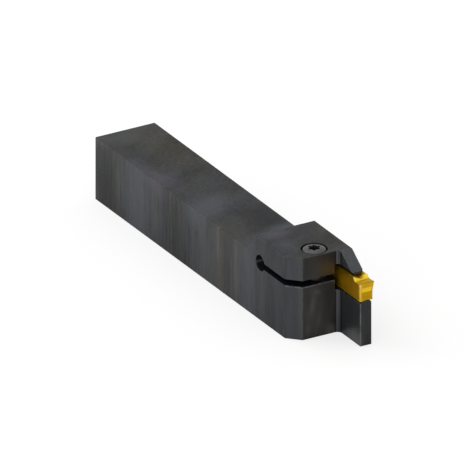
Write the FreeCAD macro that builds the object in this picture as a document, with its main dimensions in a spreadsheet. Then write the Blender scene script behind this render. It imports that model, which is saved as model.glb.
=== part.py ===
import FreeCAD, Part
import math
import os
import re

import Sketcher

# External grooving tool holder with its clamp screw and double-ended grooving insert, in millimetres.
# +X runs along the shank towards the cutting edge, +Y towards the side that carries the blade, +Z is up.
# The origin is on the underside, on the shank's centreline, at the rear end.

SIZES = {
    # Shank and head
    "shank_width": 20.0,
    "shank_height": 20.0,
    "shank_length": 89.7,
    "head_length": 24.8,
    "head_rise": 6.3,
    "head_back_angle": 60.0,
    "corner_chamfer": 3.85,
    # Blade and upper jaw
    "blade_thickness": 3.8,
    "blade_reach": 12.2,
    "blade_fillet": 1.5,
    "jaw_reach": 7.45,
    "jaw_flat": 0.9,
    "jaw_slope_angle": 35.0,
    "jaw_tip_radius": 0.25,
    "jaw_edge_chamfer": 0.45,
    # Clamping slot
    "slot_height": 2.0,
    "slot_drop": 3.0,
    "relief_hole": 5.0,
    "relief_hole_rise": 0.4,
    "relief_hole_setback": 18.3,
    # Clamp screw
    "screw_diameter": 4.0,
    "screw_length": 16.0,
    "screw_offset": 0.3,
    "counterbore_wall": 0.5,
    "screw_point_chamfer": 0.5,
    "screw_head_diameter": 7.0,
    "screw_head_height": 4.0,
    "screw_head_flat": 4.4,
    "screw_head_crown": 0.55,
    "screw_head_radius": 0.3,
    "screw_head_rise": 0.35,
    "counterbore_play": 0.5,
    "screw_hole_play": 0.25,
    "thread_play": 0.05,
    "thread_spare_depth": 2.0,
    "socket_across": 3.95,
    "socket_valley": 2.85,
    "socket_lobe_radius": 0.4,
    "socket_depth": 2.2,
    # Insert
    "insert_length": 21.0,
    "insert_height": 6.65,
    "insert_body_width": 4.4,
    "insert_overhang": 0.9,
    "edge_width": 5.0,
    "edge_drop": 0.8,
    "edge_rise": 0.4,
    "ear_relief": 0.2,
    "ear_length": 4.1,
    "ear_back_taper": 0.12,
    "ear_run_out": 0.8,
    "upper_flank_height": 1.45,
    "upper_flank_angle": 7.0,
    "lower_flank_height": 1.45,
    "lower_flank_angle": 11.0,
    "rake_length": 3.1,
    "rake_angle": 4.0,
    "chip_wall_run": 1.1,
    "chip_floor_radius": 0.8,
    "top_groove_depth": 0.8,
    "bottom_groove_depth": 0.35,
    "nose_radius": 0.6,
    # Seat of the insert
    "seat_gap": 0.85,
    "jaw_gap": 0.35,
    "ridge_half_width": 1.1,
    "ridge_crest_gap": 0.12,
    "seat_side_play": 0.95,
    "stop_play": 0.05,
}

# Places worked out from those sizes
SIDE = "(shank_width / 2)"
FRONT = "(shank_length + head_length)"
HEAD_TOP = "(shank_height + head_rise)"
BLADE_FRONT = f"({FRONT} + blade_reach)"
BLADE_LEFT = f"({SIDE} - blade_thickness)"
BLADE_MIDDLE = f"({SIDE} - blade_thickness / 2)"
SLOT_FLOOR = "(shank_height - slot_drop)"
SLOT_ROOF = f"({SLOT_FLOOR} + slot_height)"
SCREW_X = f"({FRONT} - counterbore_wall - counterbore_play - screw_head_diameter / 2)"
SCREW_SEAT = f"({HEAD_TOP} + screw_head_rise - screw_head_height)"
EDGE_HEIGHT = "(insert_height - edge_drop)"
INSERT_BOTTOM = f"(shank_height + edge_rise - {EDGE_HEIGHT})"
SEAT_FLOOR = f"({INSERT_BOTTOM} - seat_gap)"
INSERT_TOP = f"({INSERT_BOTTOM} + insert_height)"
INSERT_TIP = f"({BLADE_FRONT} + insert_overhang)"
INSERT_MIDDLE = f"({INSERT_TIP} - insert_length / 2)"
BODY_SIDE = "(insert_body_width / 2)"
EDGE_SIDE = "(edge_width / 2)"

doc = FreeCAD.newDocument("grooving_tool_holder")
sheet = doc.addObject("Spreadsheet::Sheet", "Sizes")
for row, (size_name, size) in enumerate(SIZES.items(), start=1):
    sheet.set(f"A{row}", size_name)
    sheet.set(f"B{row}", str(size))
    sheet.setAlias(f"B{row}", size_name)
doc.recompute()


def formula(text):
    """The text with every size name turned into a reference to its cell."""
    return re.sub(r"[a-z_]+", lambda word: "Sizes." + word[0] if word[0] in SIZES else word[0], text)


def value(text):
    """The number that a formula gives now."""
    return float(sheet.evalExpression(formula(text)))


def bind(thing, prop, text):
    """Ties a property of an object to a formula."""
    thing.setExpression(prop, formula(text))


def new_body(name):
    """An empty body whose label names its file."""
    body = doc.addObject("PartDesign::Body", name)
    body.Label = name
    return body


def new_sketch(body, name, plane, offset="0"):
    """A sketch on one of the body's own origin planes, moved by a formula along the plane's normal."""
    sketch = body.newObject("Sketcher::SketchObject", name)
    origin_plane = next(item for item in body.Origin.OriginFeatures if item.Role == plane)
    sketch.AttachmentSupport = (origin_plane, "")
    sketch.MapMode = "FlatFace"
    bind(sketch, "AttachmentOffset.Base.z", offset)
    return sketch


def pin(sketch, edge, end, corner):
    """Holds one end of an edge at a place given by two formulas."""
    for kind, text in zip(("DistanceX", "DistanceY"), corner):
        index = sketch.addConstraint(Sketcher.Constraint(kind, -1, 1, edge, end, value(text)))
        bind(sketch, f"Constraints[{index}]", text)


def add_outline(sketch, corners):
    """A closed outline of straight edges; each corner is a pair of formulas."""
    places = [FreeCAD.Vector(value(across), value(up), 0) for across, up in corners]
    count = len(corners)
    first = sketch.GeometryCount
    for index in range(count):
        sketch.addGeometry(Part.LineSegment(places[index], places[(index + 1) % count]), False)
    for index in range(count):
        after = first + (index + 1) % count
        sketch.addConstraint(Sketcher.Constraint("Coincident", first + index, 2, after, 1))
    for index in range(count):
        pin(sketch, first + index, 1, corners[index])


def point(place):
    """The point that a pair of formulas gives now."""
    return FreeCAD.Vector(value(place[0]), value(place[1]), 0)


def add_chain(sketch, pieces):
    """A closed chain of edges, each with a start, a place between, an end and a radius.

    A straight edge has neither the place between nor the radius.
    """
    edges = []
    for start, between, end, _ in pieces:
        if between is None:
            shape = Part.LineSegment(point(start), point(end))
        else:
            shape = Part.Arc(point(start), point(between), point(end))
        edge = sketch.addGeometry(shape, False)
        # A three-point arc may be stored against its own direction, so its ends are looked up
        near_start = sketch.getPoint(edge, 1).distanceToPoint(point(start)) < 1e-6
        edges.append((edge, 1, 2) if near_start else (edge, 2, 1))
    for index, (start, _, _, radius) in enumerate(pieces):
        edge, first, last = edges[index]
        after, after_first, _ = edges[(index + 1) % len(edges)]
        sketch.addConstraint(Sketcher.Constraint("Coincident", edge, last, after, after_first))
        pin(sketch, edge, first, start)
        if radius is not None:
            place = sketch.addConstraint(Sketcher.Constraint("Radius", edge, value(radius)))
            bind(sketch, f"Constraints[{place}]", radius)


def add_circle(sketch, centre, radius):
    """A circle; its centre is a pair of formulas and its radius a formula."""
    middle = FreeCAD.Vector(value(centre[0]), value(centre[1]), 0)
    circle = Part.Circle(middle, FreeCAD.Vector(0, 0, 1), value(radius))
    edge = sketch.addGeometry(circle, False)
    pin(sketch, edge, 3, centre)
    index = sketch.addConstraint(Sketcher.Constraint("Radius", edge, value(radius)))
    bind(sketch, f"Constraints[{index}]", radius)


def add_feature(body, kind, name, sketch, length=None, both_ways=False, backwards=False):
    """A pad or pocket from a sketch: to a length, or through everything where none is given."""
    feature = body.newObject("PartDesign::" + kind, name)
    feature.Profile = sketch
    if length is None:
        feature.Type = "ThroughAll"
    else:
        bind(feature, "Length", length)
    if both_ways:
        feature.SideType = "Symmetric"
    feature.Reversed = backwards
    doc.recompute()
    return feature


def round_edges(body, name, radius, chosen):
    """A fillet on the edges of the body's tip that the test picks."""
    base = body.Tip
    names = [f"Edge{index}" for index, edge in enumerate(base.Shape.Edges, start=1) if chosen(edge)]
    if not names:
        raise RuntimeError(f"{name} finds no edge")
    fillet = body.newObject("PartDesign::Fillet", name)
    fillet.Base = (base, names)
    bind(fillet, "Radius", radius)
    doc.recompute()


def upright_at(across, along):
    """A test for upright edges that stand at a place in plan."""
    spot = FreeCAD.Vector(value(across), value(along), 0)

    def chosen(edge):
        ends = [vertex.Point for vertex in edge.Vertexes]
        return len(ends) == 2 and all(math.hypot(end.x - spot.x, end.y - spot.y) < 1e-4 for end in ends)

    return chosen


def level_at(along, up):
    """A test for edges parallel to Y that lie at a place in side view."""
    spot = FreeCAD.Vector(value(along), 0, value(up))

    def chosen(edge):
        ends = [vertex.Point for vertex in edge.Vertexes]
        return len(ends) == 2 and all(math.hypot(end.x - spot.x, end.z - spot.z) < 1e-4 for end in ends)

    return chosen


def seat_flank(depth, half_width, away):
    """Height of a seat groove's flank above its edge, at a distance from the middle."""
    return f"({depth} * (1 - ({away}) / {half_width}))"


def make_holder():
    """Shank, head, blade and upper jaw, made from one bar."""
    body = new_body("holder")

    bar = new_sketch(body, "bar_outline", "XZ_Plane")
    head_back = f"shank_length + head_rise / tan(head_back_angle)"
    add_outline(bar, [
        ("0", "0"),
        (FRONT, "0"),
        (FRONT, HEAD_TOP),
        (head_back, HEAD_TOP),
        ("shank_length", "shank_height"),
        ("0", "shank_height"),
    ])
    add_feature(body, "Pad", "bar", bar, "shank_width", both_ways=True)

    # The blade and the upper jaw over it stand on the right side of the head
    blade = new_sketch(body, "blade_outline", "XZ_Plane", f"-{SIDE}")
    mid_height = f"{INSERT_BOTTOM} + insert_height / 2"
    jaw_tip = f"({FRONT} + jaw_reach)"
    jaw_fall = f"({HEAD_TOP} - (jaw_reach - jaw_flat) * tan(jaw_slope_angle))"
    add_outline(blade, [
        (f"{FRONT} - corner_chamfer", "0"),
        (BLADE_FRONT, "0"),
        (BLADE_FRONT, mid_height),
        (jaw_tip, mid_height),
        (jaw_tip, jaw_fall),
        (f"{FRONT} + jaw_flat", HEAD_TOP),
        (f"{FRONT} - corner_chamfer", HEAD_TOP),
    ])
    add_feature(body, "Pad", "blade", blade, "blade_thickness")
    round_edges(body, "blade_root", "blade_fillet", upright_at(FRONT, BLADE_LEFT))
    round_edges(body, "jaw_tip", "jaw_tip_radius", level_at(jaw_tip, jaw_fall))

    corner = new_sketch(body, "corner_outline", "XY_Plane")
    add_outline(corner, [
        (f"{FRONT} - corner_chamfer", f"-{SIDE}"),
        (FRONT, f"-{SIDE}"),
        (FRONT, f"corner_chamfer - {SIDE}"),
    ])
    add_feature(body, "Pocket", "corner_cut", corner, backwards=True)

    # The slot makes the jaw spring, and the hole at its end spreads the strain
    slot_end = f"({FRONT} - relief_hole_setback)"
    slot = new_sketch(body, "slot_outline", "XZ_Plane")
    add_outline(slot, [
        (slot_end, SLOT_FLOOR),
        (f"{BLADE_FRONT} + blade_reach", SLOT_FLOOR),
        (f"{BLADE_FRONT} + blade_reach", SLOT_ROOF),
        (slot_end, SLOT_ROOF),
    ])
    add_feature(body, "Pocket", "slot", slot, both_ways=True)
    relief = new_sketch(body, "relief_outline", "XZ_Plane")
    relief_height = f"{SLOT_FLOOR} + slot_height / 2 + relief_hole_rise"
    add_circle(relief, (slot_end, relief_height), "relief_hole / 2")
    add_feature(body, "Pocket", "relief", relief, both_ways=True)

    # The seat is a slot open to the right, with a vee ridge below and above that the insert straddles
    left_wall = f"({BLADE_MIDDLE} - {EDGE_SIDE} - seat_side_play)"
    roof = f"({INSERT_TOP} + jaw_gap)"
    lower_flank = f"{INSERT_BOTTOM} + " + seat_flank("bottom_groove_depth", BODY_SIDE, "ridge_half_width")
    upper_flank = f"{INSERT_TOP} - " + seat_flank("top_groove_depth", BODY_SIDE, "ridge_half_width")
    lower_crest = f"{INSERT_BOTTOM} + bottom_groove_depth - ridge_crest_gap"
    upper_crest = f"{INSERT_TOP} - top_groove_depth + ridge_crest_gap"
    lower_flat = f"ridge_crest_gap * {BODY_SIDE} / bottom_groove_depth"
    upper_flat = f"ridge_crest_gap * {BODY_SIDE} / top_groove_depth"
    seat = new_sketch(body, "seat_outline", "YZ_Plane", f"{INSERT_TIP} - insert_length - stop_play")
    add_outline(seat, [
        (left_wall, SEAT_FLOOR),
        (BLADE_LEFT, SEAT_FLOOR),
        (f"{BLADE_MIDDLE} - ridge_half_width", lower_flank),
        (f"{BLADE_MIDDLE} - {lower_flat}", lower_crest),
        (f"{BLADE_MIDDLE} + {lower_flat}", lower_crest),
        (f"{BLADE_MIDDLE} + ridge_half_width", lower_flank),
        (SIDE, SEAT_FLOOR),
        (f"{SIDE} + blade_thickness", SEAT_FLOOR),
        (f"{SIDE} + blade_thickness", f"{roof} + jaw_edge_chamfer"),
        (SIDE, f"{roof} + jaw_edge_chamfer"),
        (f"{SIDE} - jaw_edge_chamfer", roof),
        (f"{BLADE_MIDDLE} + ridge_half_width", upper_flank),
        (f"{BLADE_MIDDLE} + {upper_flat}", upper_crest),
        (f"{BLADE_MIDDLE} - {upper_flat}", upper_crest),
        (f"{BLADE_MIDDLE} - ridge_half_width", upper_flank),
        (f"{BLADE_LEFT} + jaw_edge_chamfer", roof),
        (BLADE_LEFT, f"{roof} + jaw_edge_chamfer"),
        (left_wall, f"{roof} + jaw_edge_chamfer"),
    ])
    add_feature(body, "Pocket", "seat", seat, backwards=True)

    # Counterbore, clearance hole down to the slot and tapped hole below it
    steps = [
        ("counterbore", SCREW_SEAT, "screw_head_diameter / 2 + counterbore_play",
         f"{HEAD_TOP} - {SCREW_SEAT}"),
        ("clearance_hole", SLOT_ROOF, "screw_diameter / 2 + screw_hole_play",
         f"{SCREW_SEAT} - {SLOT_ROOF}"),
        ("tapped_hole", f"{SCREW_SEAT} - screw_length - thread_spare_depth",
         "screw_diameter / 2 + thread_play",
         f"{SLOT_FLOOR} - {SCREW_SEAT} + screw_length + thread_spare_depth"),
    ]
    for name, floor, radius, depth in steps:
        hole = new_sketch(body, name + "_outline", "XY_Plane", floor)
        add_circle(hole, (SCREW_X, "screw_offset"), radius)
        add_feature(body, "Pocket", name, hole, depth, backwards=True)
    return body


def make_clamp_screw():
    """Cap screw with a six-lobe socket; its own frame has the underside of the head at zero."""
    body = new_body("clamp_screw")

    half = new_sketch(body, "screw_outline", "XZ_Plane")
    add_outline(half, [
        ("0", "-screw_length"),
        ("screw_diameter / 2 - screw_point_chamfer", "-screw_length"),
        ("screw_diameter / 2", "screw_point_chamfer - screw_length"),
        ("screw_diameter / 2", "0"),
        ("screw_head_diameter / 2", "0"),
        ("screw_head_diameter / 2", "screw_head_height - screw_head_crown"),
        ("screw_head_flat / 2", "screw_head_height"),
        ("0", "screw_head_height"),
    ])
    turned = body.newObject("PartDesign::Revolution", "turned")
    turned.Profile = half
    turned.ReferenceAxis = (half, ["V_Axis"])
    turned.Angle = 360
    doc.recompute()
    rim = value("screw_head_diameter / 2")

    def at_rim(edge):
        round_edge = isinstance(edge.Curve, Part.Circle) and abs(edge.Curve.Radius - rim) < 1e-6
        return round_edge and edge.CenterOfMass.z > value("screw_head_height / 2")

    round_edges(body, "head_rim", "screw_head_radius", at_rim)

    socket = new_sketch(body, "socket_outline", "XY_Plane", "screw_head_height")
    add_lobes(socket)
    add_feature(body, "Pocket", "socket", socket, "socket_depth")

    bind(body, "Placement.Base.x", SCREW_X)
    bind(body, "Placement.Base.y", "screw_offset")
    bind(body, "Placement.Base.z", SCREW_SEAT)
    return body


def polar(radius, turn):
    """A place at a radius and an angle in degrees, as two formulas."""
    return f"{radius} * cos({turn})", f"{radius} * sin({turn})"


def add_lobes(sketch):
    """The six-lobe outline: round lobes, each tangent to the hollow arcs of the valleys beside it."""
    lobes = 6
    half_step = 180 / lobes
    lobe_centre = "(socket_across / 2 - socket_lobe_radius)"
    valley = "(socket_valley / 2)"
    # The valley's radius follows from the three sizes because its arc touches both lobes
    valley_radius = (
        f"((socket_lobe_radius ^ 2 - {lobe_centre} ^ 2 - {valley} ^ 2"
        f" + 2 * {lobe_centre} * {valley} * cos({half_step}))"
        f" / (2 * ({valley} - {lobe_centre} * cos({half_step}) - socket_lobe_radius)))"
    )
    share = f"socket_lobe_radius / (socket_lobe_radius + {valley_radius})"

    def touch(turn, side):
        """Where a lobe meets the valley on one side of it."""
        lobe = polar(lobe_centre, turn)
        hollow = polar(f"({valley} + {valley_radius})", turn + side * half_step)
        return tuple(f"{here} + ({there} - {here}) * {share}" for here, there in zip(lobe, hollow))

    arcs = []
    for index in range(lobes):
        turn = (2 * index + 1) * half_step
        before = touch(turn, -1)
        after = touch(turn, 1)
        beyond = touch(turn + 2 * half_step, -1)
        crest = polar("(socket_across / 2)", turn)
        trough = polar(valley, turn + half_step)
        arcs.append((before, crest, after, "socket_lobe_radius"))
        arcs.append((after, trough, beyond, valley_radius))
    add_chain(sketch, arcs)


def add_rounded_box(sketch, reach, side, radius):
    """A rectangle about the origin with rounded corners; its half sizes and its radius are formulas."""
    inner_reach = f"({reach} - {radius})"
    inner_side = f"({side} - {radius})"
    halfway = f"({radius} * cos(45))"
    edges = []
    for sign, other in (("", "-"), ("-", "")):
        low = (f"{sign}{reach}", f"{other}{inner_side}")
        high = (f"{sign}{reach}", f"{sign}{inner_side}")
        near = (f"{sign}{inner_reach}", f"{sign}{side}")
        far = (f"{other}{inner_reach}", f"{sign}{side}")
        beyond = (f"{other}{reach}", f"{sign}{inner_side}")
        crest = (f"{sign}({inner_reach} + {halfway})", f"{sign}({inner_side} + {halfway})")
        next_crest = (f"{other}({inner_reach} + {halfway})", f"{sign}({inner_side} + {halfway})")
        edges += [(low, None, high, None), (high, crest, near, radius), (near, None, far, None),
                  (far, next_crest, beyond, radius)]
    add_chain(sketch, edges)


def make_insert():
    """Double-ended grooving insert; its own frame has the middle of its underside at zero."""
    body = new_body("insert")

    upper_setback = "(upper_flank_height * tan(upper_flank_angle))"
    lower_setback = f"({upper_setback} + lower_flank_height * tan(lower_flank_angle))"
    tip = "(insert_length / 2)"
    bend_height = f"({EDGE_HEIGHT} - upper_flank_height)"
    # Level sections from the underside up; both ends and both sides fall back below the cutting edges
    levels = [
        ("underside", "0", lower_setback, BODY_SIDE),
        ("flank_foot", f"{bend_height} - lower_flank_height", lower_setback, BODY_SIDE),
        ("flank_bend", bend_height, upper_setback, f"({EDGE_SIDE} - ear_relief)"),
        ("edge_level", EDGE_HEIGHT, "0", EDGE_SIDE),
        ("top_level", "insert_height", "0", EDGE_SIDE),
    ]
    sections = []
    for name, height, setback, half_width in levels:
        section = new_sketch(body, name, "XY_Plane", height)
        add_rounded_box(section, f"({tip} - {setback})", half_width, "nose_radius")
        sections.append(section)
    blank = body.newObject("PartDesign::AdditiveLoft", "blank")
    blank.Profile = sections[0]
    blank.Sections = sections[1:]
    blank.Ruled = True
    doc.recompute()

    # Behind each cutting edge the rake falls to a rounded floor, and the chip wall rises from it
    floor_height = f"({EDGE_HEIGHT} - rake_length * tan(rake_angle))"
    chip_space = new_sketch(body, "chip_space", "XZ_Plane")
    for sign in ("", "-"):
        add_outline(chip_space, [
            (f"{sign}({tip} + edge_width)", EDGE_HEIGHT),
            (f"{sign}{tip}", EDGE_HEIGHT),
            (f"{sign}({tip} - rake_length)", floor_height),
            (f"{sign}({tip} - rake_length - chip_wall_run)", "insert_height"),
            (f"{sign}({tip} - rake_length - chip_wall_run)", "2 * insert_height"),
            (f"{sign}({tip} + edge_width)", "2 * insert_height"),
        ])
    add_feature(body, "Pocket", "chip_spaces", chip_space, both_ways=True)
    for name, sign in (("front_chip_floor", ""), ("rear_chip_floor", "-")):
        round_edges(body, name, "chip_floor_radius", level_at(f"{sign}({tip} - rake_length)", floor_height))

    # In plan the body is narrower than the two cutting ends, which taper back from their edges
    waist = new_sketch(body, "waist_outline", "XY_Plane")
    for sign in ("", "-"):
        add_outline(waist, [
            (f"-{tip} + ear_length + ear_run_out", f"{sign}{BODY_SIDE}"),
            (f"{tip} - ear_length - ear_run_out", f"{sign}{BODY_SIDE}"),
            (f"{tip} - ear_length", f"{sign}({EDGE_SIDE} - ear_back_taper)"),
            (f"{tip} - nose_radius", f"{sign}{EDGE_SIDE}"),
            (tip, f"{sign}edge_width"),
            (f"-{tip}", f"{sign}edge_width"),
            (f"nose_radius - {tip}", f"{sign}{EDGE_SIDE}"),
            (f"-{tip} + ear_length", f"{sign}({EDGE_SIDE} - ear_back_taper)"),
        ])
    add_feature(body, "Pocket", "waist", waist, backwards=True)

    # Vee grooves along the underside and the top seat on the holder's ridges
    grooves = new_sketch(body, "groove_outline", "YZ_Plane")
    add_outline(grooves, [
        (f"-{BODY_SIDE}", "0"),
        ("0", "bottom_groove_depth"),
        (BODY_SIDE, "0"),
        (BODY_SIDE, "-bottom_groove_depth"),
        (f"-{BODY_SIDE}", "-bottom_groove_depth"),
    ])
    add_outline(grooves, [
        (f"-{BODY_SIDE}", "insert_height"),
        ("0", "insert_height - top_groove_depth"),
        (BODY_SIDE, "insert_height"),
        (BODY_SIDE, "insert_height + top_groove_depth"),
        (f"-{BODY_SIDE}", "insert_height + top_groove_depth"),
    ])
    add_feature(body, "Pocket", "grooves", grooves, both_ways=True)

    bind(body, "Placement.Base.x", INSERT_MIDDLE)
    bind(body, "Placement.Base.y", BLADE_MIDDLE)
    bind(body, "Placement.Base.z", INSERT_BOTTOM)
    return body


def check_document():
    """Stops if any object failed, before anything is written."""
    for item in doc.Objects:
        if "Invalid" in item.State or "Error" in item.State:
            raise RuntimeError(f"{item.Name} failed: {item.State}")


pieces = [make_holder(), make_clamp_screw(), make_insert()]
doc.recompute()
check_document()
for piece in pieces:
    if piece.Shape.isNull() or not piece.Shape.isValid():
        raise RuntimeError(f"{piece.Label} has no valid shape")
    if len(piece.Shape.Solids) != 1:
        raise RuntimeError(f"{piece.Label} is not one solid")

os.makedirs("parts", exist_ok=True)
for piece in pieces:
    piece.Shape.exportStep(f"parts/{piece.Label}.step")
    box = piece.Shape.BoundBox
    print(piece.Label, round(piece.Shape.Volume, 2), "mm3", [round(edge, 3) for edge in (
        box.XMin, box.XMax, box.YMin, box.YMax, box.ZMin, box.ZMax)])
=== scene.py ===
"""Looks of a grooving tool holder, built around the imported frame.

A square shank of blackened steel ends in a slotted head. A cap screw draws the upper jaw down on a
double-ended insert of gold-coated carbide, which stands on a thin blade. Every length is in metres, also
where a table gives it through MM or mm(). Every piece lies in the frame's own axes: +X along the shank to
the cutting edge, +Y to the blade, +Z up.
"""

from __future__ import annotations

import logging
import math
from collections.abc import Callable, Iterator, Mapping, Sequence
from contextlib import contextmanager
from dataclasses import dataclass, field
from enum import Enum
from typing import NamedTuple

import bmesh
import bpy
from bmesh.types import BMEdge, BMVert, BMesh
from bpy.types import (Camera, Light, Material, Mesh, MeshPolygon, Node, NodeInputs, NodeOutputs,
                       NodeSocket, NodeTree, Object)
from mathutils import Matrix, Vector

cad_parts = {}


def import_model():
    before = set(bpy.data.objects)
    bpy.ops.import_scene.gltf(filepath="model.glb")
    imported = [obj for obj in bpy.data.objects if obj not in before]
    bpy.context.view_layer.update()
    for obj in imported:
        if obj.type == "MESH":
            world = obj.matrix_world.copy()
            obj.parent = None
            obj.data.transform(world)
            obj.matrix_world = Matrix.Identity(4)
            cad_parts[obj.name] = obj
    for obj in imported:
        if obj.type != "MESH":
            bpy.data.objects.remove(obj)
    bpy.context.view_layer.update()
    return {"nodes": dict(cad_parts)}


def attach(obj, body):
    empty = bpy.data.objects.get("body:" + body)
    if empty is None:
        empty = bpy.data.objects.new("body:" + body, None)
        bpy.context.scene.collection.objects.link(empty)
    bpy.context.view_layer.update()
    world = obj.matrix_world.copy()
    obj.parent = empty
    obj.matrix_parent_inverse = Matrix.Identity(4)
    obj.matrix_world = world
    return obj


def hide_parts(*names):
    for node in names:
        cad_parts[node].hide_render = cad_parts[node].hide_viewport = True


LOG = logging.getLogger("tool_holder")
WHOLE_BODY = "root"
EDGE_ATTRIBUTE = "edge_break"
# The share of painted light (up to 1) and painted shade (down to -1) stored on each face.
PAINTED_LIGHT_ATTRIBUTE = "painted_face_light"
MM = 0.001
FAR = 1.0
FLAT_ANGLE = math.radians(0.2)

Colour = tuple[float, float, float]
Place = tuple[float, float, float]
Span = tuple[float, float]
Reach = float | Callable[[float], float]
Source = NodeSocket | float | str | Sequence[float]


def mm(x: float, y: float, z: float) -> Place:
    """Turns three lengths in millimetres into metres."""
    return x * MM, y * MM, z * MM


class Slot(Enum):
    """The material slots."""

    BLACKENED_STEEL = "blackened_steel"
    SCREW_STEEL = "screw_steel"
    COATED_CARBIDE = "coated_carbide"


class Tree(Enum):
    """The kinds of node group."""

    SHADER = "ShaderNodeTree"
    GEOMETRY = "GeometryNodeTree"


class Socket(Enum):
    """The kinds of socket that the groups have."""

    FLOAT = "NodeSocketFloat"
    WHOLE = "NodeSocketInt"
    VECTOR = "NodeSocketVector"
    COLOUR = "NodeSocketColor"
    MATERIAL = "NodeSocketMaterial"
    GEOMETRY = "NodeSocketGeometry"


class Sketch:
    """A node tree that is being drawn, with short calls for the nodes that it uses most."""

    # The mix node's sockets in its colour mode, where their names aren't unique.
    MIX_SHARE, MIX_FIRST, MIX_SECOND, MIXED = 0, 6, 7, 2

    def __init__(self, tree: NodeTree) -> None:
        """Starts on a tree."""
        self.tree = tree

    def node(self, kind: str, sources: Mapping[str | int, Source] | None = None,
             **settings: object) -> Node:
        """Adds a node.

        Args:
            kind: The node's class name.
            sources: What its inputs get, by name or number.
            **settings: Properties to set on it.

        Returns:
            The new node.
        """
        made = self.tree.nodes.new(kind)
        for name, setting in settings.items():
            setattr(made, name, setting)
        for key, source in (sources or {}).items():
            self.feed(made.inputs[key], source)
        return made

    def feed(self, socket: NodeSocket, source: Source) -> None:
        """Links a socket to an output, or sets its value.

        Args:
            socket: The input to fill.
            source: An output socket or a plain value.
        """
        if isinstance(source, NodeSocket):
            self.tree.links.new(source, socket)
        else:
            socket.default_value = source

    def math(self, operation: str, *sources: Source) -> NodeSocket:
        """Gives the result of a math node for its operands."""
        return self.node("ShaderNodeMath", dict(enumerate(sources)), operation=operation).outputs[0]

    def fade(self, value: Source, span: Span, low: float = 0.0, high: float = 1.0,
             interpolation: str = "SMOOTHSTEP") -> NodeSocket:
        """Maps a value from one range to another, held at both ends.

        Args:
            value: What is mapped.
            span: The values that give low and high.
            low: The result at the span's start.
            high: The result at its end.
            interpolation: How it goes from one to the other.

        Returns:
            The mapped value.
        """
        sources = {"Value": value, "From Min": span[0], "From Max": span[1], "To Min": low, "To Max": high}
        return self.node("ShaderNodeMapRange", sources, interpolation_type=interpolation).outputs["Result"]

    def blend(self, share: Source, first: Source, second: Source) -> NodeSocket:
        """Mixes two colours.

        Args:
            share: How much of the second colour shows.
            first: The first colour.
            second: The second colour.

        Returns:
            The mixed colour.
        """
        sources = {self.MIX_SHARE: share}
        for key, end in ((self.MIX_FIRST, first), (self.MIX_SECOND, second)):
            sources[key] = end if isinstance(end, NodeSocket) else (*end, 1.0)
        return self.node("ShaderNodeMix", sources, data_type="RGBA").outputs[self.MIXED]

    def local(self, place: NodeSocket, **sources: Source) -> NodeSocket:
        """Gives a place in the axes of something with a location, a rotation and a scale."""
        return self.node("ShaderNodeMapping", {"Vector": place, **sources}, vector_type="TEXTURE").outputs[0]

    def noise(self, vector: NodeSocket, sources: Mapping[str, Source], dimensions: str = "3D") -> NodeSocket:
        """Gives the value of a noise texture."""
        sources = {"Vector": vector, "Scale": 1.0, **sources}
        return self.node("ShaderNodeTexNoise", sources, noise_dimensions=dimensions).outputs["Fac"]

    def split(self, vector: NodeSocket) -> NodeOutputs:
        """Gives the three parts of a vector."""
        return self.node("ShaderNodeSeparateXYZ", {0: vector}).outputs


def new_group(name: str, kind: Tree, inputs: Mapping[str, Socket], outputs: Mapping[str, Socket],
              ) -> tuple[Sketch, NodeOutputs, NodeInputs]:
    """Makes an empty node group with its named sockets.

    Args:
        name: The group's name.
        kind: The tree's kind.
        inputs: The kind of each input.
        outputs: The kind of each output.

    Returns:
        The sketch of the tree, what it is given, and where its results go.
    """
    tree = bpy.data.node_groups.new(name, kind.value)
    for way, sockets in (("INPUT", inputs), ("OUTPUT", outputs)):
        for label, socket in sockets.items():
            tree.interface.new_socket(name=label, in_out=way, socket_type=socket.value)
    sketch = Sketch(tree)
    return sketch, sketch.node("NodeGroupInput").outputs, sketch.node("NodeGroupOutput").inputs


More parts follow.
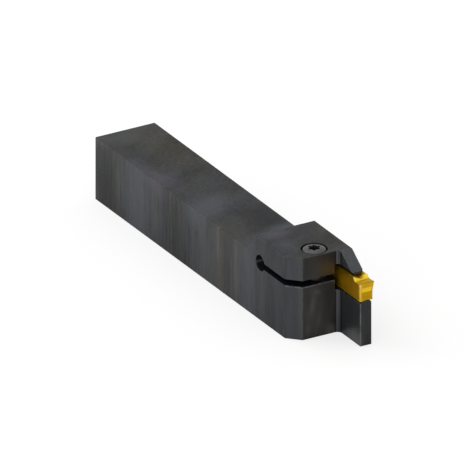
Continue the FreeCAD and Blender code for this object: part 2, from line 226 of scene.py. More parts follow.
class SurfaceEffects:
    """The shader groups that the finishes share, each built once."""

    CLOUD_NOISE: Mapping[str, float] = {"Detail": 3.0, "Roughness": 0.45}
    SMEAR_NOISE: Mapping[str, float] = {"Detail": 5.0, "Roughness": 0.65, "Distortion": 0.6}
    MARK_NOISE: Mapping[str, float] = {"Scale": 1.0, "Detail": 2.0, "Roughness": 0.6}
    SPOT_NOISE: Mapping[str, float] = {"Scale": 0.35, "Detail": 4.0, "Roughness": 0.6}
    EDGE_DETAIL: float = 3.0
    NOISE_SPAN: Span = (0.3, 0.7)
    TINT_SHIFT: float = 7.3
    EDGE_SPAN: Span = (0.35, 0.6)
    LEAST_EDGE_LIGHT: float = 0.35

    def __init__(self) -> None:
        """Builds the four groups."""
        self.clouding = self._clouding()
        self.grain = self._grain()
        self.edge_wear_and_highlight = self._edge_wear_and_highlight()
        self.painted_face_light = self._painted_face_light()

    def _clouding(self) -> NodeTree:
        """Builds broad soft patches, stretched along a direction, and small smears.

        Returns:
            A group that gives a lightness, a tint and the smears, all from 0 to 1.
        """
        sketch, given, result = new_group(
            "clouding", Tree.SHADER,
            {"Place": Socket.VECTOR, "Turn": Socket.VECTOR, "Patch": Socket.VECTOR, "Seed": Socket.FLOAT,
             "Smear": Socket.VECTOR},
            {"Light": Socket.FLOAT, "Tint": Socket.FLOAT, "Smear": Socket.FLOAT})
        broad = sketch.local(given["Place"], Rotation=given["Turn"], Scale=given["Patch"])
        small = sketch.local(given["Place"], Scale=given["Smear"])
        noises = {"Smear": sketch.noise(small, self.SMEAR_NOISE)}
        for label, shift in (("Light", 0.0), ("Tint", self.TINT_SHIFT)):
            seed = sketch.math("ADD", given["Seed"], shift)
            noises[label] = sketch.noise(broad, {"W": seed, **self.CLOUD_NOISE}, "4D")
        for label, noise in noises.items():
            sketch.feed(result[label], sketch.fade(noise, self.NOISE_SPAN))
        return sketch.tree

    def _grain(self) -> NodeTree:
        """Builds fine grinding marks.

        Returns:
            A group that gives a height and a mask of dull spots, both from 0 to 1.
        """
        sketch, given, result = new_group(
            "grain", Tree.SHADER, {"Place": Socket.VECTOR, "Mark": Socket.VECTOR},
            {"Height": Socket.FLOAT, "Dull": Socket.FLOAT})
        marks = sketch.local(given["Place"], Scale=given["Mark"])
        for label, sources in (("Height", self.MARK_NOISE), ("Dull", self.SPOT_NOISE)):
            sketch.feed(result[label], sketch.noise(marks, sources))
        return sketch.tree

    def _edge_wear_and_highlight(self) -> NodeTree:
        """Builds patchy lightening on broken edges, partly rubbing and partly painted highlight.

        Returns:
            A group that gives how much an edge lightens, from 0 to 1.
        """
        sketch, given, result = new_group(
            "edge_wear_and_highlight", Tree.SHADER,
            {"Place": Socket.VECTOR, "Edge": Socket.FLOAT, "Patch": Socket.FLOAT, "Amount": Socket.FLOAT},
            {"Wear And Highlight": Socket.FLOAT})
        scale = sketch.math("DIVIDE", 1.0, given["Patch"])
        noise = sketch.noise(given["Place"], {"Scale": scale, "Detail": self.EDGE_DETAIL})
        patchy = sketch.fade(noise, self.EDGE_SPAN, self.LEAST_EDGE_LIGHT)
        worn_and_lit = sketch.math("MULTIPLY", sketch.math("MULTIPLY", patchy, given["Edge"]), given["Amount"])
        sketch.feed(result["Wear And Highlight"], worn_and_lit)
        return sketch.tree

    def _painted_face_light(self) -> NodeTree:
        """Builds the painted light and shade of single faces: a paler colour where light is painted on, a
        deeper one where shade is painted.

        Returns:
            A group that gives the colour with its painted light and shade.
        """
        sketch, given, result = new_group(
            "painted_face_light", Tree.SHADER,
            {"Tone": Socket.FLOAT, "Colour": Socket.COLOUR, "Pale": Socket.COLOUR, "Deep": Socket.COLOUR},
            {"Colour": Socket.COLOUR})
        colour = sketch.blend(given["Tone"], given["Colour"], given["Pale"])
        below = sketch.math("MULTIPLY", given["Tone"], -1.0)
        sketch.feed(result["Colour"], sketch.blend(below, colour, given["Deep"]))
        return sketch.tree


SLANT = (0.0, 0.0, math.radians(22.0))
LEAN = (math.radians(-14.0), 0.0, 0.0)
BLACK = (0.0, 0.0, 0.0)
# Tints of the steel's painted sheen and shade: BLUE, VIOLET, OLIVE, BROWN and PINK.
BLUE = (0.006, 0.012, 0.026)
VIOLET = (0.012, 0.009, 0.022)
OLIVE = (0.016, 0.014, 0.004)
BROWN = (0.030, 0.021, 0.011)
PINK = (0.034, 0.026, 0.027)
# Pale warm grey of painted sheen: light streaks on the shank's side and the lighter front of the head.
PALE_SHEEN = (0.026, 0.023, 0.019)
# Grey of the floor's painted reflection, low on the head's front and the blade's side.
FLOOR_REFLECTION = (0.075, 0.075, 0.075)
# Amber of the gold insert's painted reflection under the jaw.
GOLD_REFLECTION = (0.060, 0.034, 0.004)
# Colours of the insert's painted light: HONEY lights its left side, ORANGE its rear end, AMBER paints darker
# streaks down it, MOSS the dark reflection and shade under the jaw, PEACH the highlight on its rounded
# corner, CREAM and LEMON the glints on its chip walls.
AMBER = (0.66, 0.36, 0.005)
HONEY = (1.0, 0.51, 0.008)
MOSS = (0.12, 0.10, 0.004)
PEACH = (1.0, 0.62, 0.11)
ORANGE = (1.0, 0.62, 0.03)
CREAM = (1.0, 0.90, 0.30)
LEMON = (1.0, 0.88, 0.20)


@dataclass(frozen=True)
class Patch:
    """A soft round patch of painted sheen or painted shade: its film is thickened or thinned and its colour
    lightened or darkened, and it may carry a tint of its own.
    """

    centre: Place
    reach: Place
    strength: float
    colour: Colour = BLACK
    share: float = 0.0
    turn: Place = (0.0, 0.0, 0.0)


class Surface(NamedTuple):
    """What varies over a finish: its colour, dull spots, marks, lightness with its painted sheen and shade,
    and the painted light of its faces.
    """

    colour: NodeSocket
    dull: NodeSocket
    height: NodeSocket
    light: NodeSocket
    tone: NodeSocket


@dataclass(frozen=True)
class Finish:
    """A metal finish, from its colours to its marks, with the painted light and shade that it carries."""

    slot: Slot
    dark: Colour
    light: Colour
    cool: Colour
    warm: Colour
    # The colour of broken edges: rubbed metal with a painted highlight.
    worn_and_lit: Colour
    roughness: float
    roughness_spread: float
    metallic: float
    specular: float
    cloud: Place
    seed: float
    tint_share: float
    mark: Place
    mark_depth: float
    # How much the broken edges lighten, as rubbing and painted highlight.
    wear_and_highlight: float
    edge_patch: float = 2.0 * MM
    turn: Place = (0.0, 0.0, 0.0)
    # pale and deep are the colours of painted light and painted shade on single faces, and deep_film is how
    # much of its film a face in painted shade keeps.
    pale: Colour = BLACK
    deep: Colour = BLACK
    film: Span = (0.0, 0.0)
    film_roughness: float = 0.03
    film_span: Span = (-0.2, 1.2)
    dull_span: Span = (0.35, 0.65)
    dull_loss: float = 0.25
    deep_film: float = 0.05
    cloud_share: float = 1.0
    smear: Place = mm(3, 3, 3)
    smear_share: float = 0.0
    patches: tuple[Patch, ...] = ()

    def material(self, effects: SurfaceEffects) -> Material:
        """Builds the finish as a material.

        Args:
            effects: The shared shader groups.

        Returns:
            The material.
        """
        made = bpy.data.materials.new(self.slot.value)
        made.use_nodes = True
        made.node_tree.nodes.clear()
        sketch = Sketch(made.node_tree)
        surface = self._surface(sketch, effects, sketch.node("ShaderNodeTexCoord").outputs["Object"])
        rough = sketch.fade(surface.dull, effects.NOISE_SPAN, self.roughness - self.roughness_spread,
                            self.roughness + self.roughness_spread)
        bump = sketch.node("ShaderNodeBump", {"Strength": 1.0, "Distance": self.mark_depth,
                                              "Height": surface.height})
        shader = sketch.node("ShaderNodeBsdfPrincipled", {
            "Metallic": self.metallic, "Specular IOR Level": self.specular, "Base Color": surface.colour,
            "Roughness": rough, "Normal": bump.outputs["Normal"]})
        if self.film[1] > 0.0:
            loss = sketch.fade(surface.dull, self.dull_span, 0.0, self.dull_loss)
            weight = sketch.fade(sketch.math("SUBTRACT", surface.light, loss), self.film_span, *self.film)
            # Faces in painted shade lose most of their film too.
            kept = sketch.fade(surface.tone, (-1.0, 0.0), self.deep_film)
            sketch.feed(shader.inputs["Coat Weight"], sketch.math("MULTIPLY", weight, kept))
            sketch.feed(shader.inputs["Coat Roughness"], self.film_roughness)
        sketch.node("ShaderNodeOutputMaterial", {"Surface": shader.outputs["BSDF"]})
        return made

    def _surface(self, sketch: Sketch, effects: SurfaceEffects, place: NodeSocket) -> Surface:
        """Draws what varies over the surface.

        Args:
            sketch: The material's tree.
            effects: The shared shader groups.
            place: The object coordinates.

        Returns:
            The surface's sockets.
        """
        clouds = sketch.node("ShaderNodeGroup", {
            "Place": place, "Turn": self.turn, "Patch": self.cloud, "Seed": self.seed, "Smear": self.smear,
        }, node_tree=effects.clouding).outputs
        # What the two shares leave keeps the mean at one half.
        rest = (1.0 - self.cloud_share - self.smear_share) / 2
        light = sketch.math("MULTIPLY_ADD", clouds["Light"], self.cloud_share, rest)
        light = sketch.math("MULTIPLY_ADD", clouds["Smear"], self.smear_share, light)
        # Each patch paints sheen or shade into the lightness, which also sets the film, and may paint a
        # tint.
        masks = [self._reach(sketch, place, patch) for patch in self.patches]
        for patch, mask in zip(self.patches, masks):
            light = sketch.math("MULTIPLY_ADD", mask, patch.strength, light)
        colour = sketch.blend(light, self.dark, self.light)
        tinted = sketch.blend(clouds["Tint"], self.cool, self.warm)
        colour = sketch.blend(self.tint_share, colour, tinted)
        for patch, mask in zip(self.patches, masks):
            if patch.share > 0.0:
                colour = sketch.blend(sketch.math("MULTIPLY", mask, patch.share), colour, patch.colour)
        # The painted light and shade of single faces, stored on the mesh.
        tone = sketch.node("ShaderNodeAttribute", attribute_name=PAINTED_LIGHT_ATTRIBUTE).outputs["Fac"]
        toned = sketch.node("ShaderNodeGroup", {
            "Tone": tone, "Colour": colour, "Pale": (*self.pale, 1.0), "Deep": (*self.deep, 1.0),
        }, node_tree=effects.painted_face_light).outputs["Colour"]
        grain = sketch.node("ShaderNodeGroup", {"Place": place, "Mark": self.mark},
                            node_tree=effects.grain).outputs
        edge = sketch.node("ShaderNodeAttribute", attribute_name=EDGE_ATTRIBUTE).outputs["Fac"]
        wear_and_highlight = sketch.node("ShaderNodeGroup", {
            "Place": place, "Edge": edge, "Patch": self.edge_patch, "Amount": self.wear_and_highlight,
        }, node_tree=effects.edge_wear_and_highlight).outputs["Wear And Highlight"]
        return Surface(sketch.blend(wear_and_highlight, toned, self.worn_and_lit), grain["Dull"], grain["Height"], light, tone)

    def _reach(self, sketch: Sketch, place: NodeSocket, patch: Patch) -> NodeSocket:
        """Draws how far one patch reaches.

        Args:
            sketch: The material's tree.
            place: The object coordinates.
            patch: The patch.

        Returns:
            A mask that is 1 in the patch's middle and 0 beyond its reach.
        """
        local = sketch.local(place, Location=patch.centre, Rotation=patch.turn, Scale=patch.reach)
        length = sketch.node("ShaderNodeVectorMath", {0: local}, operation="LENGTH")
        return sketch.fade(length.outputs["Value"], (0.0, 1.0), 1.0, 0.0)


BLACKENED_STEEL = Finish(
    slot=Slot.BLACKENED_STEEL,
    dark=(0.008, 0.008, 0.008),
    light=(0.013, 0.013, 0.014),
    cool=(0.007, 0.010, 0.015),
    warm=(0.013, 0.011, 0.008),
    worn_and_lit=(0.105, 0.108, 0.112),
    roughness=0.36,
    roughness_spread=0.05,
    metallic=0.0,
    specular=0.05,
    cloud=mm(7, 14, 150),
    turn=SLANT,
    seed=2.0,
    tint_share=0.6,
    mark=mm(0.35, 0.35, 8),
    mark_depth=0.004 * MM,
    wear_and_highlight=0.9,
    pale=(0.050, 0.055, 0.063),
    deep=(0.006, 0.006, 0.012),
    film=(0.25, 0.95),
    film_roughness=0.26,
    cloud_share=0.35,
    smear=mm(1.3, 1.3, 6),
    smear_share=0.22,
    patches=(
        # Painted sheen and shade on the steel: each patch lightens or darkens the film and the colour where
        # reflections and shade fall, in broad bands along the shank, in streaks on the head's front, along
        # the slot's lip, along the blade's top edge under the insert, under the jaw and low on the blade.
        Patch(mm(3, -3, 21.2), mm(10, 25, 4), 0.55),
        Patch(mm(5, -10, 8), mm(10, 5, 14), -0.45),
        Patch(mm(24, -10, 10), mm(13, 6, 40), 0.48, BLUE, 0.7),
        Patch(mm(36, -8, 20), mm(9, 8, 8), 0.60, VIOLET, 1.0),
        Patch(mm(31, -7.5, 20.5), mm(6, 1.5, 3), 0.30, VIOLET, 0.5, SLANT),
        Patch(mm(47, -10, 4), mm(10, 9, 18), -0.25, turn=SLANT),
        Patch(mm(57, -5, 20), mm(9, 13, 10), 0.75, BLUE, 1.0, SLANT),
        Patch(mm(37, -10, 9), mm(7, 6, 16), 0.35),
        Patch(mm(35, 7, 20), mm(8, 8, 8), -0.25),
        Patch(mm(46, -4, 21.2), mm(7, 9, 4), 0.30),
        Patch(mm(83, 6, 21.2), mm(7, 8, 4), 0.45, BLUE, 0.6),
        Patch(mm(65, -10, 6), mm(9, 6, 30), 0.24, BLUE, 0.3),
        Patch(mm(74, 6, 20), mm(12, 14, 8), -0.40, turn=SLANT),
        Patch(mm(72.5, -10, 10), mm(5, 6, 40), 0.30, OLIVE, 0.6),
        Patch(mm(71.6, -10, 15), mm(1.4, 4, 12), 0.35, PALE_SHEEN, 0.4),
        Patch(mm(82.2, -10, 9), mm(1.6, 4, 22), 0.35, PALE_SHEEN, 0.5),
        Patch(mm(85, 0, 10), mm(7, 60, 60), 0.48, BLUE, 0.6, SLANT),
        Patch(mm(97, -4, 26), mm(9, 14, 6), -0.10, VIOLET, 0.6),
        Patch(mm(96, -5, 26.3), mm(4, 7.5, 2), 0.65, VIOLET, 0.3),
        Patch(mm(106, -10, 10), mm(12, 6, 50), -0.20, BLUE, 0.3),
        Patch(mm(114, -6.6, 13), mm(1.1, 1.1, 30), 0.50),
        Patch(mm(103, -6, 26.3), mm(7, 5, 3), 0.25, BLUE, 0.4),
        Patch(mm(16, 6, 20), mm(24, 12, 10), 0.0, OLIVE, 0.9),
        Patch(mm(114.5, 3, 21.2), mm(3, 7, 4.5), 0.30, BROWN, 1.0),
        Patch(mm(114.5, 0, 8), mm(2, 12, 16), 0.0, PALE_SHEEN, 1.0),
        Patch(mm(114.5, -3, 10), mm(3, 1.3, 6), 0.45, PINK, 0.8, LEAN),
        Patch(mm(114.5, -0.5, 6), mm(3, 1.2, 7), 0.45, PINK, 0.7, LEAN),
        Patch(mm(114.5, 1.2, 10), mm(3, 0.9, 6), -0.20, turn=LEAN),
        Patch(mm(114.5, -4.6, 12.5), mm(3, 1.4, 4), -0.45, PINK, 0.3),
        Patch(mm(114.5, -1.2, 14.5), mm(3, 2.2, 1.2), 0.60, PINK, 0.9, LEAN),
        Patch(mm(114.5, -1.6, 19.1), mm(3, 1.6, 0.7), 0.55, PINK, 0.9),
        Patch(mm(114.5, -4.5, 3), mm(3, 1.6, 3), 0.40, FLOOR_REFLECTION, 0.15),
        Patch(mm(114.5, 3.4, 1.6), mm(3, 2.6, 2.8), 0.90, FLOOR_REFLECTION, 0.35),
        Patch(mm(114.5, 3.2, 7), mm(3, 1.4, 9), 0.80, PALE_SHEEN, 0.9, LEAN),
        Patch(mm(119, 6.2, 13.9), mm(12, 1, 1.8), -0.55),
        Patch(mm(121.5, 8, 21.55), mm(1.8, 3.5, 0.6), 0.0, GOLD_REFLECTION, 1.0),
        Patch(mm(122.8, 6.2, 0.5), mm(7, 2, 5.8), 0.85, FLOOR_REFLECTION, 0.9),
    ),
)

SCREW_STEEL = Finish(
    slot=Slot.SCREW_STEEL,
    dark=(0.050, 0.050, 0.050),
    light=(0.085, 0.085, 0.085),
    cool=(0.065, 0.067, 0.070),
    warm=(0.070, 0.070, 0.067),
    worn_and_lit=(0.13, 0.13, 0.13),
    roughness=0.38,
    roughness_spread=0.06,
    metallic=0.0,
    specular=0.35,
    cloud=mm(1.5, 1.5, 4),
    seed=5.0,
    tint_share=0.3,
    mark=mm(0.2, 0.2, 0.2),
    mark_depth=0.004 * MM,
    wear_and_highlight=0.5,
    deep=(0.010, 0.010, 0.010),
)

COATED_CARBIDE = Finish(
    slot=Slot.COATED_CARBIDE,
    dark=(0.40, 0.23, 0.003),
    light=(0.78, 0.47, 0.008),
    cool=(0.54, 0.37, 0.004),
    warm=(0.64, 0.34, 0.004),
    worn_and_lit=(0.85, 0.64, 0.12),
    roughness=0.42,
    roughness_spread=0.06,
    metallic=1.0,
    specular=0.5,
    cloud=mm(2, 2, 1),
    seed=9.0,
    tint_share=0.35,
    cloud_share=0.4,
    smear=mm(0.4, 0.4, 0.3),
    smear_share=0.6,
    mark=mm(0.18, 0.18, 0.18),
    mark_depth=0.010 * MM,
    wear_and_highlight=0.6,
    pale=(0.98, 0.64, 0.030),
    deep=(0.20, 0.13, 0.003),
    patches=(
        # Painted light on the insert: its left side is lit and streaked, lighter at the rear, with painted
        # shade along its top edge under the jaw, a painted highlight on its rounded corner and painted
        # glints on its chip walls.
        Patch(mm(118, 5.6, 17.5), mm(14, 0.6, 8), 0.0, HONEY, 1.0),
        Patch(mm(125.5, 5.6, 18), mm(1.6, 0.6, 6), 0.0, AMBER, 0.9),
        Patch(mm(122.2, 5.6, 18), mm(0.7, 0.6, 7), 0.0, AMBER, 0.7),
        Patch(mm(118.6, 5.6, 17), mm(0.6, 0.6, 6), 0.0, AMBER, 0.5),
        Patch(mm(114.5, 5.6, 21.3), mm(8.5, 1, 1.6), 0.0, MOSS, 1.0),
        Patch(mm(127.2, 5.8, 18), mm(1.2, 0.9, 10), 0.0, PEACH, 1.0),
        Patch(mm(115.8, 5.6, 18), mm(3.5, 0.6, 5), 0.0, ORANGE, 0.8),
        Patch(mm(124.1, 5.6, 20.7), mm(1.1, 1.2, 1), 0.0, CREAM, 1.0),
        Patch(mm(123.7, 10, 20.7), mm(1.2, 1.4, 1), 0.0, LEMON, 1.0),
    ),
)


def new_piece(name: str, mesh: Mesh, material: Material) -> Object:
    """Puts a mesh in the scene with its material.

    Args:
        name: The piece's name.
        mesh: Its mesh, in place and without a material.
        material: Its finish.

    Returns:
        The object, at the origin.
    """
    mesh.name = name
    mesh.materials.append(material)
    piece = bpy.data.objects.new(name, mesh)
    bpy.context.scene.collection.objects.link(piece)
    return piece


@contextmanager
def editing(mesh: Mesh, start: Mesh | None = None) -> Iterator[BMesh]:
    """Opens a shape for editing and stores it in a mesh at the end.

    Args:
        mesh: The mesh that gets the result.
        start: The mesh that the shape starts from, if any.

    Yields:
        The shape.
    """
    shape = bmesh.new()
    if start:
        shape.from_mesh(start)
    yield shape
    shape.to_mesh(mesh)
    shape.free()


def plain_mesh(piece: Object) -> Mesh:
    """Turns what a piece's modifiers make of it into a plain mesh.

    Args:
        piece: The object with its modifiers.

    Returns:
        The mesh that results.
    """
    bpy.context.view_layer.update()
    graph = bpy.context.evaluated_depsgraph_get()
    return bpy.data.meshes.new_from_object(piece.evaluated_get(graph), preserve_all_data_layers=True,
                                           depsgraph=graph)


@dataclass
class EdgeBreak:
    """Breaks a piece's sharp edges by a fine chamfer and marks the new faces, which lighten as rubbed edges
    with a painted highlight.
    """

    width: float
    sharp: float = math.radians(25.0)
    segments: int = 2
    face_weight: int = 100
    weight: Callable[[BMEdge], float] = field(default=lambda edge: 1.0)
    # Gives how much each broken edge lightens, as rubbing and painted highlight.
    wear_and_highlight: Callable[[Vector], float] = field(default=lambda place: 1.0)

    def apply(self, piece: Object) -> None:
        """Chamfers the edges, smooths the shading around them and leaves a plain mesh.

        Args:
            piece: The object to finish.
        """
        rough = piece.data
        self._weigh(rough)
        marker = bpy.data.materials.new("edge_marker")
        rough.materials.append(marker)
        bevel = piece.modifiers.new("edge_break", "BEVEL")
        bevel.limit_method = "WEIGHT"
        bevel.width = self.width
        bevel.segments = self.segments
        bevel.use_clamp_overlap = False
        bevel.material = len(rough.materials) - 1
        bevel.miter_outer = "MITER_ARC"
        smooth = piece.modifiers.new("weighted_normals", "WEIGHTED_NORMAL")
        smooth.mode = "FACE_AREA"
        smooth.weight = self.face_weight
        smooth.keep_sharp = True
        mesh = plain_mesh(piece)
        self._mark(mesh, bevel.material)
        piece.modifiers.clear()
        piece.data = mesh
        bpy.data.meshes.remove(rough)
        mesh.name = piece.name
        bpy.data.materials.remove(marker)

    def _weigh(self, mesh: Mesh) -> None:
        """Gives each sharp edge its share of the width.

        Args:
            mesh: The mesh whose edges are weighed.
        """
        with editing(mesh, mesh) as shape:
            layer = shape.edges.layers.float.new("bevel_weight_edge")
            for edge in shape.edges:
                corner = edge.is_manifold and edge.calc_face_angle(0.0) > self.sharp
                edge[layer] = self.weight(edge) if corner else 0.0
            for face in shape.faces:
                face.smooth = True

    def _mark(self, mesh: Mesh, marker_index: int) -> None:
        """Stores which faces are broken edges, and returns them to the first material.

        Args:
            mesh: The chamfered mesh.
            marker_index: The material index of the broken edges.
        """
        marked = mesh.attributes.new(EDGE_ATTRIBUTE, "FLOAT", "CORNER")
        for face in mesh.polygons:
            if face.material_index == marker_index:
                wear_and_highlight = self.wear_and_highlight(face.center)
                for corner in face.loop_indices:
                    marked.data[corner].value = wear_and_highlight
                face.material_index = 0
        mesh.materials.pop(index=marker_index)


@dataclass(frozen=True)
class PaintedFaceLight:
    """Painted light or painted shade for the faces that look one way, in one part of a piece."""

    facing: Place | None
    tone: float
    low: Place = (-FAR, -FAR, -FAR)
    high: Place = (FAR, FAR, FAR)
    closeness: float = 0.999

    def covers(self, face: MeshPolygon) -> bool:
        """Tells whether a face looks this way and lies in this part."""
        near = self.facing is None or face.normal.dot(Vector(self.facing).normalized()) > self.closeness
        return near and all(low < here < high for low, here, high in zip(self.low, face.center, self.high))


def paint_face_light(mesh: Mesh, tones: Sequence[PaintedFaceLight]) -> None:
    """Stores the painted light of each face, from -1 for painted shade to 1 for painted light.

    Args:
        mesh: The finished mesh.
        tones: The tones, of which the first that covers a face holds.
    """
    stored = mesh.attributes.new(PAINTED_LIGHT_ATTRIBUTE, "FLOAT", "CORNER")
    for face in mesh.polygons:
        tone = next((tone.tone for tone in tones if tone.covers(face)), 0.0)
        for corner in face.loop_indices:
            stored.data[corner].value = tone


def merged_copy(node: Object, gap: float) -> Mesh:
    """Copies a frame node's mesh, joins its loose triangles and dissolves its flat faces.

    Args:
        node: The frame's object.
        gap: How near two points have to be to become one.

    Returns:
        The copy.
    """
    mesh = bpy.data.meshes.new(node.name)
    with editing(mesh, node.data) as shape:
        bmesh.ops.remove_doubles(shape, verts=shape.verts, dist=gap)
        bmesh.ops.dissolve_degenerate(shape, edges=shape.edges, dist=gap)
        bmesh.ops.dissolve_limit(shape, angle_limit=FLAT_ANGLE, verts=shape.verts, edges=shape.edges)
    return mesh


@dataclass
class Holder:
    """Shank, slotted head, spring jaw and blade, all one piece of blackened steel."""

    point_gap: float = 0.001 * MM
    edge_width: float = 0.50 * MM
    edge_share: float = 0.30
    seat_share: float = 0.13
    lip_share: float = 0.6
    front_share: float = 0.55
    seat_start: Place = mm(104, 5, 13)
    blade_front: float = 126.7 * MM
    blade_left: float = 6.2 * MM
    blade_near: float = 0.5 * MM
    lip_height: float = 17.0 * MM
    lip_near: float = 0.1 * MM
    slot_top: float = 18.0 * MM
    head_front: float = 115.0 * MM
    front_edges_from: float = 111.0 * MM
    # How much the broken edges lighten, as painted highlight with some rubbing: bright ahead of the head's
    # front and around the slot, less on the rest of the head's front end, least elsewhere.
    bright_edge: float = 1.0
    head_edge: float = 0.35
    plain_edge: float = 0.12
    # Painted light on the holder's faces: the chamfer, the jaw's slope, the jaw's and the blade's left
    # sides, the fronts of the head and the blade, a spot on the relief hole's wall and the bright facets of
    # the fillet strip are paler where light and reflections fall; the fillet's darker facets, the seat under
    # the insert and the slot's floor are deeper, in painted shade.
    tones: tuple[PaintedFaceLight, ...] = (
        PaintedFaceLight((1.0, -1.0, 0.0), 0.72, mm(110, -20, 18), mm(115, -6, 30)),
        PaintedFaceLight((1.0, -1.0, 0.0), 0.62, high=mm(115, -6, 30)),
        PaintedFaceLight((0.574, 0.0, 0.819), 0.85, mm(115, 0, 20)),
        PaintedFaceLight((0.0, -1.0, 0.0), 0.42, mm(114.5, 5, 21)),
        PaintedFaceLight((0.0, -1.0, 0.0), 0.25, mm(114.5, 5, 0)),
        PaintedFaceLight((0.891, -0.454, 0.0), 1.0, mm(114.5, 4.7, -1), closeness=0.989),
        PaintedFaceLight((0.988, -0.156, 0.0), -0.5, mm(114.5, 4.7, -1), closeness=0.989),
        PaintedFaceLight((0.707, -0.707, 0.0), 0.45, mm(114.5, 4.7, -1), closeness=0.985),
        PaintedFaceLight((0.3, -0.95, 0.0), -0.2, mm(114.5, 4.7, -1), closeness=0.96),
        PaintedFaceLight((1.0, 0.0, 0.0), 0.12, mm(126, 0, 0)),
        PaintedFaceLight((1.0, 0.0, 0.0), 0.13, mm(114, -20, -1), mm(115, 4.8, 18)),
        PaintedFaceLight((1.0, 0.0, 0.0), 0.08, mm(114, -20, 18), mm(115, 4.8, 30)),
        PaintedFaceLight(None, -1.0, mm(106, 6.1, 13.6), mm(126.8, 10.1, 14.9)),
        PaintedFaceLight((0.0, 0.0, 1.0), -0.8, mm(90, -20, 16.5), mm(130, 20, 17.5)),
        PaintedFaceLight((1.0, 0.0, 0.2), 1.0, mm(93, -20, 17.6), mm(96, 20, 18.3), closeness=0.95),
    )

    def build(self, node: Object, material: Material) -> Object:
        """Builds the holder from the frame's node.

        Args:
            node: The frame's holder.
            material: The blackened steel.

        Returns:
            The finished piece.
        """
        piece = new_piece("holder_body", merged_copy(node, self.point_gap), material)
        EdgeBreak(self.edge_width, weight=self._weight, wear_and_highlight=self._wear_and_highlight).apply(piece)
        paint_face_light(piece.data, self.tones)
        return piece

    def _weight(self, edge: BMEdge) -> float:
        """Gives an edge's share of the chamfer: least in the insert's seat, most along the slot's lower lip.

        Args:
            edge: The edge.

        Returns:
            Its share, from 0 to 1.
        """
        ends = [end.co for end in edge.verts]
        middle = (ends[0] + ends[1]) / 2
        if all(self._on_blade_edge(end) for end in ends):
            return self.front_share
        if middle.x > self.front_edges_from and abs(middle.z - self.lip_height) < self.lip_near:
            return self.lip_share
        in_seat = all(here > limit for here, limit in zip(middle, self.seat_start))
        return self.seat_share if in_seat else self.edge_share

    def _on_blade_edge(self, place: Vector) -> bool:
        """Tells whether a place lies near the upright edge that the blade's front and left side share."""
        return max(abs(place.x - self.blade_front), abs(place.y - self.blade_left)) < self.blade_near

    def _wear_and_highlight(self, place: Vector) -> float:
        """Gives how much a broken edge lightens, as painted highlight with some rubbing: bright on the blade
        and the slot, fainter elsewhere.

        Args:
            place: Where the edge lies.

        Returns:
            How much it lightens, from 0 to 1.
        """
        if place.x < self.front_edges_from:
            return self.plain_edge
        if place.x > self.head_front or self.seat_start[2] < place.z < self.slot_top:
            return self.bright_edge
        return self.head_edge


def finish_tree(sketch: Sketch, shape: NodeSocket, material: NodeSocket, result: NodeInputs) -> None:
    """Ends a geometry tree: real geometry in its material.

    Args:
        sketch: The tree.
        shape: The geometry so far.
        material: The material's socket.
        result: Where the tree's results go.
    """
    realised = sketch.node("GeometryNodeRealizeInstances", {"Geometry": shape}).outputs[0]
    dressed = sketch.node("GeometryNodeSetMaterial", {"Geometry": realised, "Material": material})
    sketch.feed(result["Geometry"], dressed.outputs[0])


def grown_mesh(name: str, tree: NodeTree, sizes: Mapping[str, object]) -> Mesh:
    """Runs a geometry tree with its sizes and returns the plain mesh.

    Args:
        name: A name for the mesh.
        tree: The tree, which makes its own geometry.
        sizes: The value of each named input.

    Returns:
        The mesh that the tree makes.
    """
    carrier = bpy.data.objects.new(name, bpy.data.meshes.new(name))
    bpy.context.scene.collection.objects.link(carrier)
    grown = carrier.modifiers.new(name, "NODES")
    grown.node_group = tree
    for socket in tree.interface.items_tree:
        if socket.in_out == "INPUT":
            grown[socket.identifier] = sizes[socket.name]
    mesh = plain_mesh(carrier)
    spare = carrier.data
    bpy.data.objects.remove(carrier)
    bpy.data.meshes.remove(spare)
    return mesh


